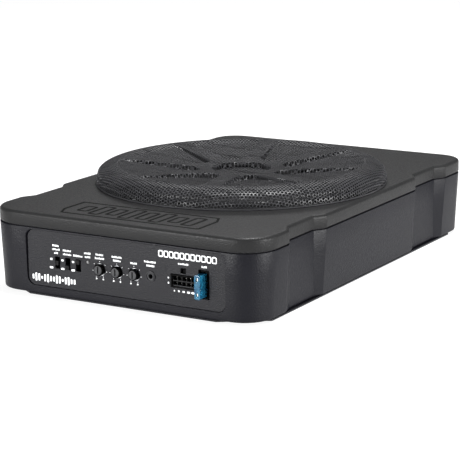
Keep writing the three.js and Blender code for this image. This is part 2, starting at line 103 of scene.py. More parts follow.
def make_camera():
    forward = Vector((-0.49995, 0.83580, -0.22691)).normalized()
    right = forward.cross(Vector((0, 0, 1))).normalized()
    up = right.cross(forward)
    roll = math.radians(-0.606)
    rolled_right = math.cos(roll) * right + math.sin(roll) * up
    rolled_up = math.cos(roll) * up - math.sin(roll) * right
    data = bpy.data.cameras.new("camera")
    data.lens = 141.93
    data.sensor_width = 36
    data.clip_start = 0.05
    data.clip_end = 50
    camera = bpy.data.objects.new("camera", data)
    axes = Matrix((rolled_right, rolled_up, -forward)).transposed()
    camera.matrix_world = Matrix.Translation((0.7783, -1.3182, 0.3808)) @ axes.to_4x4()
    bpy.context.scene.collection.objects.link(camera)
    bpy.context.scene.camera = camera


make_camera()

# ---- Material helpers ------------------------------------------------------------------------


def new_material(name, color, roughness, metallic=0.0, specular=0.5):
    material = bpy.data.materials.new(name)
    material.use_nodes = True
    shader = material.node_tree.nodes["Principled BSDF"]
    shader.inputs["Base Color"].default_value = (*color, 1)
    shader.inputs["Roughness"].default_value = roughness
    shader.inputs["Metallic"].default_value = metallic
    shader.inputs["Specular IOR Level"].default_value = specular
    return material


def add_node(material, kind, **values):
    node = material.node_tree.nodes.new(kind)
    for name, value in values.items():
        node.inputs[name].default_value = value
    return node


def noise(material, size, detail=3.0, roughness=0.55):
    """Noise whose blotches are about size millimetres across, fixed to the object."""
    tree = material.node_tree
    coordinates = tree.nodes.new("ShaderNodeTexCoord")
    scale = 1 / (size * MM)
    texture = add_node(material, "ShaderNodeTexNoise", Scale=scale, Detail=detail, Roughness=roughness)
    tree.links.new(coordinates.outputs["Object"], texture.inputs["Vector"])
    return texture


def ramp(material, source, stops):
    """A colour ramp on source. stops are (position, value) pairs, where value is a grey or a colour."""
    node = material.node_tree.nodes.new("ShaderNodeValToRGB")
    elements = node.color_ramp.elements
    while len(elements) < len(stops):
        elements.new(0.5)
    for element, (position, value) in zip(elements, stops):
        element.position = position
        element.color = (value, value, value, 1) if isinstance(value, float) else (*value, 1)
    material.node_tree.links.new(source, node.inputs["Fac"])
    return node


def bump(material, source, strength, depth):
    """Bumps the surface by source, depth millimetres high. Bumps stack on one another."""
    tree = material.node_tree
    shader = tree.nodes["Principled BSDF"]
    node = add_node(material, "ShaderNodeBump", Strength=strength, Distance=depth * MM)
    tree.links.new(source, node.inputs["Height"])
    if shader.inputs["Normal"].links:
        tree.links.new(shader.inputs["Normal"].links[0].from_socket, node.inputs["Normal"])
    tree.links.new(node.outputs["Normal"], shader.inputs["Normal"])


def tint(material, source, low, high, start=0.35, end=0.65):
    """Base colour from low to high as source rises."""
    shades = ramp(material, source, [(start, low), (end, high)])
    shader = material.node_tree.nodes["Principled BSDF"]
    material.node_tree.links.new(shades.outputs["Color"], shader.inputs["Base Color"])


def vary_roughness(material, source, low, high):
    shades = ramp(material, source, [(0.3, low), (0.7, high)])
    shader = material.node_tree.nodes["Principled BSDF"]
    material.node_tree.links.new(shades.outputs["Color"], shader.inputs["Roughness"])


def shaded(color, factor):
    return tuple(channel * factor for channel in color)


# ---- Materials ----------------------------------------------------------------------------------


def moulded_material(name, color, roughness, specular, grain=1.3):
    """Injection-moulded plastic with a fine spark-eroded grain."""
    material = new_material(name, color, roughness, specular=specular)
    grain_noise = noise(material, grain, detail=2)
    blotches = noise(material, 38, detail=3)
    tint(material, blotches.outputs["Fac"], shaded(color, 0.93), shaded(color, 1.07))
    vary_roughness(material, grain_noise.outputs["Fac"], roughness - 0.06, roughness + 0.06)
    bump(material, grain_noise.outputs["Fac"], 0.8, 0.3)
    return material


def plain_plastic(name, color, roughness, specular=0.5):
    material = new_material(name, color, roughness, specular=specular)
    fine = noise(material, 1.6, detail=3)
    tint(material, fine.outputs["Fac"], shaded(color, 0.9), shaded(color, 1.1))
    vary_roughness(material, fine.outputs["Fac"], roughness - 0.05, roughness + 0.07)
    bump(material, fine.outputs["Fac"], 0.2, 0.03)
    return material


def metal(name, color, roughness, grain=0.8):
    material = new_material(name, color, roughness, metallic=1.0)
    spangle = noise(material, 5, detail=2)
    scratches = noise(material, grain, detail=4, roughness=0.7)
    tint(material, spangle.outputs["Fac"], shaded(color, 0.85), shaded(color, 1.05))
    vary_roughness(material, scratches.outputs["Fac"], roughness - 0.08, roughness + 0.1)
    bump(material, scratches.outputs["Fac"], 0.25, 0.02)
    return material


def fibrous(name, color, roughness, size, depth):
    """Pressed pulp, felt or resin-stiffened cloth."""
    material = new_material(name, color, roughness, specular=0.25)
    fibre = noise(material, size, detail=6, roughness=0.7)
    tint(material, fibre.outputs["Fac"], shaded(color, 0.7), shaded(color, 1.35))
    bump(material, fibre.outputs["Fac"], 0.6, depth)
    return material


def coated_mesh_material():
    color = (0.031, 0.031, 0.0335)
    material = new_material("coated_mesh", color, 0.4, specular=0.22)
    orange_peel = noise(material, 0.9, detail=2)
    patches = noise(material, 22, detail=2)
    tint(material, patches.outputs["Fac"], shaded(color, 0.9), shaded(color, 1.1))
    vary_roughness(material, orange_peel.outputs["Fac"], 0.32, 0.42)
    bump(material, orange_peel.outputs["Fac"], 0.3, 0.03)
    return material


def fuse_material():
    color = (0.015, 0.17, 0.34)
    material = new_material("fuse_plastic", color, 0.14, specular=0.6)
    shader = material.node_tree.nodes["Principled BSDF"]
    shader.inputs["Transmission Weight"].default_value = 0.55
    shader.inputs["IOR"].default_value = 1.5
    # Random blotches from deep to light blue: the fuse's inner structure, with painted highlights in the
    # light ones.
    blotches_and_glints = noise(material, 3.5, detail=2)
    tint(material, blotches_and_glints.outputs["Fac"], (0.004, 0.07, 0.16), (0.03, 0.27, 0.46))
    bump(material, blotches_and_glints.outputs["Fac"], 0.25, 0.1)
    return material


def printed_material():
    color = (0.86, 0.87, 0.88)
    material = new_material("white_print", color, 0.5, specular=0.3)
    ink = noise(material, 0.5, detail=3)
    tint(material, ink.outputs["Fac"], shaded(color, 0.92), color)
    bump(material, ink.outputs["Fac"], 0.2, 0.01)
    return material


# The cover and the tub are one moulded black. The cover's copy is lighter and less blue: painted light, for
# the top that the overhead light falls on.
COVER_PLASTIC_PAINTED_LIGHT = moulded_material("cover_plastic_painted_light", (0.0135, 0.0135, 0.0138), 0.4, 0.12)
TUB_PLASTIC = moulded_material("tub_plastic", (0.0060, 0.0060, 0.0084), 0.42, 0.13)
PANEL_PLASTIC = moulded_material("panel_plastic", (0.0058, 0.0058, 0.0080), 0.42, 0.17, grain=0.8)
COATED_MESH = coated_mesh_material()
NYLON = plain_plastic("black_nylon", (0.004, 0.004, 0.0045), 0.45, 0.12)
# Near black that reflects almost nothing: the black of housings, shrouds and holders, darkened further as
# painted shade for the wells they line; also painted shade in the badge's grooves and on the knobs' sides.
BLACK_AND_WELL_SHADE = plain_plastic("black_and_well_shade", (0.0015, 0.0015, 0.0016), 0.6, 0.04)
KNOB_GREY = plain_plastic("knob_grey", (0.019, 0.0195, 0.022), 0.5, 0.3)
RUBBER = plain_plastic("rubber", (0.010, 0.010, 0.011), 0.7, 0.25)
ZINC = metal("zinc_plate", (0.56, 0.57, 0.59), 0.34)
TINNED = metal("tinned_contact", (0.75, 0.73, 0.68), 0.25)
BLACK_STEEL = plain_plastic("black_steel", (0.014, 0.014, 0.015), 0.45)
FERRITE = fibrous("ferrite", (0.035, 0.034, 0.034), 0.8, 1.2, 0.05)
PULP = fibrous("pulp", (0.006, 0.006, 0.0065), 0.85, 1.8, 0.15)
SPIDER_CLOTH = fibrous("spider_cloth", (0.42, 0.29, 0.12), 0.9, 0.9, 0.1)
COPPER = metal("enamelled_copper", (0.62, 0.30, 0.14), 0.3)
ALUMINIUM = metal("aluminium", (0.62, 0.63, 0.64), 0.38)
BOARD = plain_plastic("circuit_board", (0.02, 0.11, 0.05), 0.35)
FUSE_BLUE = fuse_material()
SMOKED_LENS = plain_plastic("smoked_lens", (0.10, 0.10, 0.10), 0.25)
WHITE_PRINT = printed_material()

# ---- Mesh helpers --------------------------------------------------------------------------------


def mesh_object(name, points, faces, material, smooth_degrees=35.0):
    """A mesh from points in millimetres."""
    mesh = bpy.data.meshes.new(name)
    scaled = [tuple(point) for point in np.asarray(points, float) * MM]
    mesh.from_pydata(scaled, [], [tuple(face) for face in faces])
    mesh.materials.append(material)
    thing = bpy.data.objects.new(name, mesh)
    bpy.context.scene.collection.objects.link(thing)
    finish_mesh(thing, smooth_degrees)
    return thing


def finish_mesh(thing, smooth_degrees=35.0):
    """Faces point out, and edges sharper than smooth_degrees stay crisp."""
    mesh = thing.data
    work = bmesh.new()
    work.from_mesh(mesh)
    bmesh.ops.remove_doubles(work, verts=work.verts, dist=2e-7)
    bmesh.ops.dissolve_degenerate(work, edges=work.edges, dist=1e-7)
    bmesh.ops.recalc_face_normals(work, faces=work.faces)
    work.to_mesh(mesh)
    work.free()
    mesh.polygons.foreach_set("use_smooth", [True] * len(mesh.polygons))
    mesh.set_sharp_from_angle(angle=math.radians(smooth_degrees))
    mesh.update()


def place(thing, body, slot, *nodes):
    """Sends a piece with a body and hides the CAD nodes that it stands in for. Its slot is not used."""
    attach(thing, body)
    if nodes:
        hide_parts(*nodes)
    return thing


def combine(name, things, smooth_degrees=35.0):
    """Joins several objects of one material into one."""
    first = things[0]
    work = bmesh.new()
    for thing in things:
        work.from_mesh(thing.data)
    work.to_mesh(first.data)
    work.free()
    for thing in things[1:]:
        bpy.data.objects.remove(thing)
    first.name = name
    first.data.polygons.foreach_set("use_smooth", [True] * len(first.data.polygons))
    first.data.set_sharp_from_angle(angle=math.radians(smooth_degrees))
    return first


def loft(rings):
    """Points and faces through rings of equal length, with the first and last capped."""
    count = len(rings[0])
    points = np.concatenate([np.asarray(ring, float) for ring in rings])
    faces = []
    for level in range(len(rings) - 1):
        start = level * count
        for i in range(count):
            j = (i + 1) % count
            faces.append((start + i, start + j, start + count + j, start + count + i))
    faces.append(tuple(range(count - 1, -1, -1)))
    faces.append(tuple(range(len(points) - count, len(points))))
    return points, faces


def turned(name, profile, material, centre=(0.0, None), axis="Z", segments=96, smooth_degrees=35.0):
    """A body turned from [radius, height] points, about Z at (x, y) or about Y at (x, z).
    The profile closes on itself, or starts and ends on the axis."""
    first = centre[0]
    second = DRIVER_Y if centre[1] is None else centre[1]
    angles = np.arange(segments) * 2 * math.pi / segments
    on_axis = profile[0][0] <= 1e-9
    points = []
    for radius, height in profile:
        across = first + radius * np.cos(angles)
        along = second + radius * np.sin(angles)
        level = np.full(segments, float(height))
        points.append(np.stack([across, along, level] if axis == "Z" else [across, level, along], -1))
    levels = len(profile)
    faces = []
    for level in range(levels - 1 if on_axis else levels):
        a = level * segments
        b = ((level + 1) % levels) * segments
        for i in range(segments):
            j = (i + 1) % segments
            faces.append((a + i, a + j, b + j, b + i))
    return mesh_object(name, np.concatenate(points), faces, material, smooth_degrees)


def rounded_polygon(corners, steps=8):
    """Points round a polygon of (x, y, radius) corners, each turned into an arc."""
    result = []
    total = len(corners)
    for i, (x, y, radius) in enumerate(corners):
        here = np.array([x, y], float)
        before = np.array(corners[i - 1][:2], float) - here
        after = np.array(corners[(i + 1) % total][:2], float) - here
        before /= np.linalg.norm(before)
        after /= np.linalg.norm(after)
        half = math.acos(np.clip(before @ after, -1, 1)) / 2
        reach = radius / math.tan(half)
        start = here + before * reach
        end = here + after * reach
        middle = here + (before + after) / np.linalg.norm(before + after) * (radius / math.sin(half))
        first = math.atan2(*(start - middle)[::-1])
        turn = math.atan2(*(end - middle)[::-1]) - first
        turn = (turn + math.pi) % (2 * math.pi) - math.pi
        for step in range(steps + 1):
            angle = first + turn * step / steps
            result.append(middle + radius * np.array([math.cos(angle), math.sin(angle)]))
    return np.array(result)


def rounded_rectangle(x, z, radius, steps=8):
    corners = [(x[0], z[0], radius), (x[1], z[0], radius), (x[1], z[1], radius), (x[0], z[1], radius)]
    return rounded_polygon(corners, steps)


def circle(x, z, radius, steps=32):
    angles = np.arange(steps) * 2 * math.pi / steps
    return np.stack([x + radius * np.cos(angles), z + radius * np.sin(angles)], -1)


def plate(name, outlines, y, material, edge=0.15, smooth_degrees=35.0):
    """A plate in the XZ plane between the two y levels, with rounded edges.
    The first outline is its rim and the others are holes."""
    depth = y[1] - y[0]
    curve = bpy.data.curves.new(name, "CURVE")
    curve.dimensions = "2D"
    curve.fill_mode = "BOTH"
    curve.extrude = (depth / 2 - edge) * MM
    curve.bevel_depth = edge * MM
    curve.bevel_resolution = 2
    curve.offset = -edge * MM
    for outline in outlines:
        spline = curve.splines.new("POLY")
        spline.points.add(len(outline) - 1)
        spline.use_cyclic_u = True
        for point, (a, b) in zip(spline.points, outline):
            point.co = (a * MM, b * MM, 0, 1)
    holder = bpy.data.objects.new(name, curve)
    bpy.context.scene.collection.objects.link(holder)
    bpy.context.view_layer.update()
    mesh = bpy.data.meshes.new_from_object(holder.evaluated_get(bpy.context.evaluated_depsgraph_get()))
    bpy.data.objects.remove(holder)
    middle = (y[0] + y[1]) / 2 * MM
    mesh.transform(Matrix.Translation((0, middle, 0)) @ Matrix.Rotation(math.pi / 2, 4, "X"))
    mesh.materials.clear()
    mesh.materials.append(material)
    thing = bpy.data.objects.new(name, mesh)
    bpy.context.scene.collection.objects.link(thing)
    finish_mesh(thing, smooth_degrees)
    return thing


def block(name, x, y, z, material, edge=0.3):
    """A box with rounded edges all round."""
    bevel = min(edge, 0.8 * (y[1] - y[0]) / 2)
    return plate(name, [rounded_rectangle(x, z, edge, 4)], y, material, bevel)


def boolean(thing, cutters, operation="DIFFERENCE", smooth_degrees=35.0):
    """Cuts or joins cutters, which are used up."""
    for cutter in cutters:
        modifier = thing.modifiers.new("boolean", "BOOLEAN")
        modifier.operation = operation
        modifier.solver = "EXACT"
        modifier.object = cutter
    bpy.context.view_layer.update()
    mesh = bpy.data.meshes.new_from_object(thing.evaluated_get(bpy.context.evaluated_depsgraph_get()))
    thing.modifiers.clear()
    thing.data = mesh
    for cutter in cutters:
        bpy.data.objects.remove(cutter)
    material = mesh.materials[0]
    mesh.materials.clear()
    mesh.materials.append(material)
    mesh.polygons.foreach_set("material_index", [0] * len(mesh.polygons))
    finish_mesh(thing, smooth_degrees)
    return thing


# ---- Box ---------------------------------------------------------------------------------------


def box_ring(level, side_inset, end_inset=None, floor_inset=None, notch_round=2.2):
    """The box's outline at one height, moved in from its sides, its ends and its notches' floors."""
    end_inset = side_inset if end_inset is None else end_inset
    floor_inset = side_inset if floor_inset is None else floor_inset
    x = HALF_WIDTH - side_inset
    floor = HALF_WIDTH - NOTCH_DEPTH - floor_inset
    front = (FRONT_Y + end_inset, FRONT_CORNER - side_inset)
    rear = (REAR_Y - end_inset, REAR_CORNER - side_inset)
    side = []
    for ramp_start, floor_start, floor_end, ramp_end in (FRONT_NOTCH, REAR_NOTCH):
        side += [(x, ramp_start), (floor, floor_start), (floor, floor_end), (x, ramp_end)]
    corners = [(x, *front)]
    corners += [(px, py, notch_round) for px, py in side]
    corners += [(x, *rear), (-x, *rear)]
    corners += [(-px, py, notch_round) for px, py in reversed(side)]
    corners += [(-x, *front)]
    outline = rounded_polygon(corners, steps=8)
    return np.column_stack([outline, np.full(len(outline), float(level))])


def quarter(start, end, steps, rising):
    """(level, inset) points on a quarter ellipse from start to end. It leaves start upright if rising."""
    result = []
    for step in range(1, steps + 1):
        angle = math.pi / 2 * step / steps
        a, b = math.sin(angle), 1 - math.cos(angle)
        if not rising:
            a, b = 1 - math.cos(angle), math.sin(angle)
        result.append((start[0] + (end[0] - start[0]) * a, start[1] + (end[1] - start[1]) * b))
    return result


def panel_cutter():
    """Fills the panel's recess, flared at its mouth to leave a small radius."""
    low, high = panel_low, panel_high
    mouth = [(FRONT_Y - 3, 1.2), (FRONT_Y + 0.1, 0.75), (FRONT_Y + 0.35, 0.45), (FRONT_Y + 0.8, 0.3)]
    rings = []
    for y, grow in [*mouth, (PANEL_BACK + 0.3, 0.3)]:
        x = (low[0] - grow, high[0] + grow)
        z = (low[2] - grow, high[2] + grow)
        outline = rounded_rectangle(x, z, PANEL_CORNER + grow, 12)
        rings.append(np.column_stack([outline[:, 0], np.full(len(outline), y), outline[:, 1]]))
    return mesh_object("panel_cutter", *loft(rings), TUB_PLASTIC)


def cover_screw_places():
    places = []
    for i in range(1, 7):
        low, high = node_box(f"cover_screw_{i}")
        places.append(((low[0] + high[0]) / 2, (low[1] + high[1]) / 2, high[2]))
    return places


def plinth_ring(level, inset):
    x = PLINTH_HALF[0] - inset
    y = PLINTH_HALF[1] - inset
    cut_x, cut_y = PLINTH_CUT
    right = [(x - cut_x, -y, 2), (x, cut_y - y, 2), (x, y - cut_y, 2), (x - cut_x, y, 2)]
    left = [(-across, along, radius) for across, along, radius in reversed(right)]
    outline = rounded_polygon(right + left, 4)
    return np.column_stack([outline, np.full(len(outline), float(level))])


def tub_sides():
    """(level, side inset, end inset, notch floor inset), up the outside and down the inside."""
    sides = [(PLINTH, 5.4, 3.4, 2.0)]
    sides += [(PLINTH + 2.2 * a, 5.4 - 2.0 * b, 3.4 - 1.9 * b, 2.0 * (1 - b)) for a, b in
              [(0.04, 0.3), (0.14, 0.58), (0.3, 0.8), (0.55, 0.94), (1.0, 1.0)]]
    sides += [(20, 2.4, 1.05, 0), (38, 1.2, 0.53, 0), (TUB_TOP - 0.6, 0.05, 0.03, 0)]
    sides += [(level, inset, inset, inset) for level, inset in
              quarter((TUB_TOP - 0.6, 0.05), (TUB_TOP, 0.6), 3, rising=True)]
    sides += [(TUB_TOP, WALL - 0.5, WALL - 0.5, WALL - 0.5), (TUB_TOP - 0.5, WALL, WALL, WALL)]
    sides += [(9, 6.4, 4.6, WALL), (5.4, 7.4, 5.6, WALL + 1), (4.7, 9.5, 8, WALL + 3)]
    return sides


def make_plinth():
    levels = [(0, 0.5), (0.12, 0.2), (0.4, 0), (PLINTH + 0.02, 0)]
    rings = [plinth_ring(level, inset) for level, inset in levels]
    plinth = mesh_object("enclosure_plinth", *loft(rings), TUB_PLASTIC)
    place(plinth, SHELL, "moulded_black")


def make_tub():
    tub = mesh_object("enclosure_tub", *loft([box_ring(*side) for side in tub_sides()]), TUB_PLASTIC)
    make_plinth()
    wall_inside = FRONT_Y + WALL - 0.6
    stiffener = block("stiffener", (-96, 104), (wall_inside, -180.5), (4, TUB_TOP - 0.8), TUB_PLASTIC)
    post = [(0, 4), (6.6, 4), (6, 9), (6, TUB_TOP - 0.1), (0, TUB_TOP - 0.1)]
    bore = [(0, -1), (4.5, -1), (4.5, 0.1), (4.2, 0.5), (4.2, 6), (2.1, 6)]
    bore += [(2.1, TUB_TOP + 1), (0, TUB_TOP + 1)]
    posts = []
    bores = []
    for i, (x, y, _) in enumerate(cover_screw_places()):
        posts.append(turned(f"post_{i}", post, TUB_PLASTIC, (x, y), segments=32))
        bores.append(turned(f"bore_{i}", bore, TUB_PLASTIC, (x, y), segments=32))
    tub = boolean(tub, [stiffener, *posts], "UNION")
    window = block("window", (-80, 88), (FRONT_Y, -179), (14, 49), TUB_PLASTIC, 1)
    tub = boolean(tub, [panel_cutter(), window, *bores])
    place(tub, SHELL, "moulded_black", "lower_enclosure")


def badge_outline(grow):
    """The framed field on the cover, in plan: two of its corners are cut off."""
    left, right, near, far = -67 - grow, 66 + grow, -175 - grow, -136 + grow
    cut = 5 + 0.6 * grow
    return rounded_polygon([
        (left + cut, near, 1.2), (right, near, 1.2), (right, far - 2.2 * cut, 1.2), (right - cut, far, 1.2),
        (left, far, 1.2), (left, near + 2.2 * cut, 1.2),
    ], 4)


def flat_cutter(name, outline, z):
    """Upright prism over a plan outline."""
    rings = [np.column_stack([outline, np.full(len(outline), level)]) for level in z]
    return mesh_object(name, *loft(rings), COVER_PLASTIC_PAINTED_LIGHT)


BADGE_MIDDLE = -155.5
GROOVE_HALF = 1.45
BADGE_BARS = (8, 13.5, 10, 14.5, 11.5, 14.5, 9, 12.5)


def badge_bars():
    """(x, half length) of upright bars in a row, like a level meter's."""
    pitch = 14.4
    first = -pitch * (len(BADGE_BARS) - 1) / 2
    return [(first + pitch * i, half) for i, half in enumerate(BADGE_BARS)]


def bar_outline(x, half, grow):
    radius = 4.3 + grow
    reach = half + grow
    y = (BADGE_MIDDLE - reach, BADGE_MIDDLE + reach)
    return rounded_rectangle((x - radius, x + radius), y, 2 + grow, 4)


def groove_ring(name, outline, clearance, z):
    """The band that follows an outline of the badge."""
    half = GROOVE_HALF - clearance
    band = flat_cutter(name, outline(half), z)
    return boolean(band, [flat_cutter("inside", outline(-half), (z[0] - 1, z[1] + 1))])


def cover_shell():
    """The cover before it is cut: rounded lip, top edge and underside, its well's wall and bosses."""
    levels = [(LID_BOTTOM, WALL), (LID_BOTTOM, 0.5)]
    levels += quarter((LID_BOTTOM, 0.5), (LID_BOTTOM + 0.5, 0), 3, rising=False)
    levels += [(LID_TOP - 2.8, 0)]
    levels += quarter((LID_TOP - 2.8, 0), (LID_TOP, 2.8), 8, rising=True)
    levels += [(LID_TOP, 3.4)]
    underside = [(LID_TOP - WALL, 4.4), (LID_TOP - WALL - 0.8, WALL)]
    rings = [box_ring(*level) for level in underside + levels]
    cover = mesh_object("cover", *loft(rings), COVER_PLASTIC_PAINTED_LIGHT)
    ring = [(OPENING, LID_BOTTOM), (121.5, LID_BOTTOM), (121.5, LID_TOP - 1), (OPENING, LID_TOP - 1)]
    well = turned("well", ring, COVER_PLASTIC_PAINTED_LIGHT, segments=128)
    boss = [(0, LID_BOTTOM), (5, LID_BOTTOM), (5.6, LID_TOP - 2), (0, LID_TOP - 2)]
    bosses = [turned(f"boss_{i}", boss, COVER_PLASTIC_PAINTED_LIGHT, (x, y), segments=32)
              for i, (x, y, _) in enumerate(cover_screw_places()) if abs(y) > 1]
    return boolean(cover, [well, *bosses], "UNION")


def make_cover():
    cover = cover_shell()
    step = [(0, 50), (OPENING, 50), (OPENING, 60), (118.5, 60), (118.5, 70), (0, 70)]
    opening = turned("opening", step, COVER_PLASTIC_PAINTED_LIGHT, segments=128)
    pilots = []
    for i, (x, y, top) in enumerate(cover_screw_places()):
        pilot = [(0, 50), (1.7, 50), (1.7, top + 0.3), (0, top + 0.3)]
        pilots.append(turned(f"pilot_{i}", pilot, COVER_PLASTIC_PAINTED_LIGHT, (x, y), segments=20))
    grooves = []
    # Each groove is filled to 0.12 below the top with a near-black band: painted shade in the badge's
    # grooves.
    groove_shades = []
    outlines = [badge_outline, *[partial(bar_outline, x, half) for x, half in badge_bars()]]
    for i, outline in enumerate(outlines):
        grooves.append(groove_ring(f"groove_{i}", outline, 0, (LID_TOP - 1.5, LID_TOP + 1)))
        groove_shades.append(groove_ring(f"inlay_{i}", outline, 0.05, (LID_TOP - 1.6, LID_TOP - 0.12)))
    cover = boolean(cover, [opening, *pilots, *grooves])
    place(cover, SHELL, "moulded_black", "top_cover")
    # The bands are joined into one near-black piece of painted shade.
    groove_shade = combine("badge_groove_shade", groove_shades)
    groove_shade.data.materials.clear()
    groove_shade.data.materials.append(BLACK_AND_WELL_SHADE)
    place(groove_shade, SHELL, "moulded_black")


make_tub()
make_cover()

# ---- Grille ------------------------------------------------------------------------------------

RIM_RADIUS = 106
HUB_INNER = 25
HUB_OUTER = 37
RIB_HALF = 8
RIB_COUNT = 8
RIB_FIRST = math.radians(16.5)
TIER_Z = LID_TOP + 8.5
SHEET = 1.0
HOLE_PITCH = 3.05
HOLE_RADIUS = 1.24


def smooth_step(value):
    value = np.clip(value, 0, 1)
    return value * value * (3 - 2 * value)


def rib_height(radius):
    return LID_TOP + 8.1 + 0.0965 * radius - 0.000185 * radius ** 2


def wall_profile():
    """(radius, height) down the outside, from the rim, over the shoulder and the tier, to the lip."""
    rim = rib_height(RIM_RADIUS)
    points = []
    for step in range(25):
        angle = math.pi / 2 * step / 24
        reach = (GRILLE_RADIUS - 1.5 - RIM_RADIUS) * math.sin(angle)
        points.append((RIM_RADIUS + reach, TIER_Z + (rim - TIER_Z) * math.cos(angle)))
    for inset, drop in [(1.6, 0.3), (2.2, 0.9), (1.9, 1.5), (0.9, 1.9), (0.4, 2.6), (0.1, 5.5), (0, 7.7)]:
        points.append((GRILLE_RADIUS - inset, TIER_Z - drop))
    return np.array(points)


WALL_PROFILE = wall_profile()
WALL_STEPS = np.concatenate([[0], np.cumsum(np.linalg.norm(np.diff(WALL_PROFILE, axis=0), axis=1))])
SHEET_END = RIM_RADIUS + WALL_STEPS[-1]


def relief(x, y):
    """Height of the dished top over x, y from the driver's axis: ribs and hub stand over wedge floors."""
    radius = np.hypot(x, y)
    angle = np.arctan2(y, x) - RIB_FIRST
    pitch = 2 * math.pi / RIB_COUNT
    folded = (angle + pitch / 2) % pitch - pitch / 2
    rib_gap = np.abs(radius * np.sin(folded)) - RIB_HALF
    hub_gap = radius - HUB_OUTER
    blend = 6.0
    mix = np.clip(0.5 + 0.5 * (rib_gap - hub_gap) / blend, 0, 1)
    gap = rib_gap * (1 - mix) + hub_gap * mix - blend * mix * (1 - mix)
    raised = 1 - smooth_step(gap / 1.7 + 0.3)
    raised *= 1 - smooth_step((HUB_INNER - radius) / 1.7 + 0.3)
    inward = np.clip((RIM_RADIUS - radius) / (RIM_RADIUS - HUB_OUTER), 0, 1)
    depth = (1.5 + 2.4 * inward) * np.clip((RIM_RADIUS - radius) / 7, 0, 1)
    return rib_height(radius) - depth * (1 - raised)


def sheet_point(u, v):
    """Places a point of the flat blank on the formed sheet."""
    run = np.hypot(u, v)
    safe = np.maximum(run, 1e-9)
    over = np.clip(run - RIM_RADIUS, 0, None)
    radius = np.where(run > RIM_RADIUS, np.interp(over, WALL_STEPS, WALL_PROFILE[:, 0]), run)
    x = u / safe * radius
    y = v / safe * radius
    z = np.where(run > RIM_RADIUS, np.interp(over, WALL_STEPS, WALL_PROFILE[:, 1]), relief(u, v))
    return np.stack([x, y + DRIVER_Y, z], -1)


def sheet_inside(u, v):
    """The same point on the sheet's inner face."""
    step = 0.4
    along = sheet_point(u + step, v) - sheet_point(u - step, v)
    across = sheet_point(u, v + step) - sheet_point(u, v - step)
    normal = np.cross(along, across)
    normal /= np.linalg.norm(normal, axis=-1, keepdims=True)
    return sheet_point(u, v) - SHEET * normal


def points_round(u, v, radius, count):
    turns = [math.radians(360 / count * k) for k in range(count)]
    return [(u + radius * math.cos(turn), v + radius * math.sin(turn)) for turn in turns]


def perforated(name, inner, outer):
    """The part of the perforated sheet whose holes lie between two distances from its centre."""
    side = HOLE_PITCH / math.sqrt(3)
    reach = int(outer / (HOLE_PITCH * 0.8)) + 2
    blank = []
    corner_index = {}
    faces = []

    def add(point):
        blank.append(point)
        return len(blank) - 1

    def shared(point):
        key = (round(point[0] * 50), round(point[1] * 50))
        if key not in corner_index:
            corner_index[key] = add(point)
        return corner_index[key]

    for row in range(-reach, reach + 1):
        for column in range(-reach, reach + 1):
            u = HOLE_PITCH * math.sqrt(0.75) * row
            v = HOLE_PITCH * (column + 0.5 * (row % 2))
            if not inner <= math.hypot(u, v) < outer:
                continue
            corners = [shared(point) for point in points_round(u, v, side, 6)]
            hole = [add(point) for point in points_round(u, v, HOLE_RADIUS, 12)]
            for k in range(6):
                ring = [hole[2 * k], hole[2 * k + 1], hole[(2 * k + 2) % 12]]
                faces.append((corners[k], corners[(k + 1) % 6], ring[2], ring[1], ring[0]))
    blank = np.array(blank)
    count = len(blank)
    edges = {}
    for face in faces:
        for a, b in zip(face, face[1:] + face[:1]):
            if (b, a) in edges:
                del edges[(b, a)]
            else:
                edges[(a, b)] = True
    under = [tuple(i + count for i in reversed(face)) for face in faces]
    walls = [(b, a, a + count, b + count) for a, b in edges]
    points = np.concatenate([sheet_point(*blank.T), sheet_inside(*blank.T)])
    return mesh_object(name, points, faces + under + walls, COATED_MESH, 50)


def make_grille():
    end = SHEET_END - HOLE_PITCH * 0.6
    first_seam = 79
    second_seam = 111
    top = perforated("grille_dome", 0, first_seam)
    flank = perforated("grille_flank", first_seam, second_seam)
    skirt = perforated("grille_shoulder", second_seam, end)
    inner = GRILLE_RADIUS - 1.5
    lip = turned("grille_lip", [
        (inner, LID_TOP + 0.3), (GRILLE_RADIUS - 0.1, LID_TOP + 0.3), (GRILLE_RADIUS, LID_TOP + 0.5),
        (GRILLE_RADIUS, LID_TOP + 1.3), (GRILLE_RADIUS - 0.25, LID_TOP + 1.6), (inner + 0.2, LID_TOP + 1.6),
        (inner, LID_TOP + 1.4),
    ], COATED_MESH, segments=192)
    place(top, SHELL, "grille_mesh", "grille")
    place(flank, SHELL, "grille_mesh")
    place(skirt, SHELL, "grille_mesh")
    place(lip, SHELL, "grille_mesh")


make_grille()

# ---- Control panel ---------------------------------------------------------------------------------


def centre_of(node):
    low, high = node_box(node)
    return (low[0] + high[0]) / 2, (low[2] + high[2]) / 2


KNOBS = [centre_of(f"knob_{i}") for i in (1, 2, 3)]
HOUSINGS = [centre_of(f"switch_housing_{i}") for i in (1, 2, 3)]
LED_X, LED_Z = centre_of("power_led")
JACK_X, JACK_Z = centre_of("remote_jack")
header_low, header_high = node_box("harness_header")
fuse_low, fuse_high = node_box("fuse")
SLOT_HALF = (2.4, 4.9)
KNOB_HOLE = 5.3
LATCH = ((57, 61.8), (34.7, 38.9))
FUSE_HOLE = ((73, 82.6), (16.7, 39.7))
PRINT_Y = (PANEL_FACE - 0.06, PANEL_FACE + 0.03)
TEXT_HEIGHT = 1.6
STROKE_GAP = 0.38


def around(middle, half):
    return middle - half, middle + half


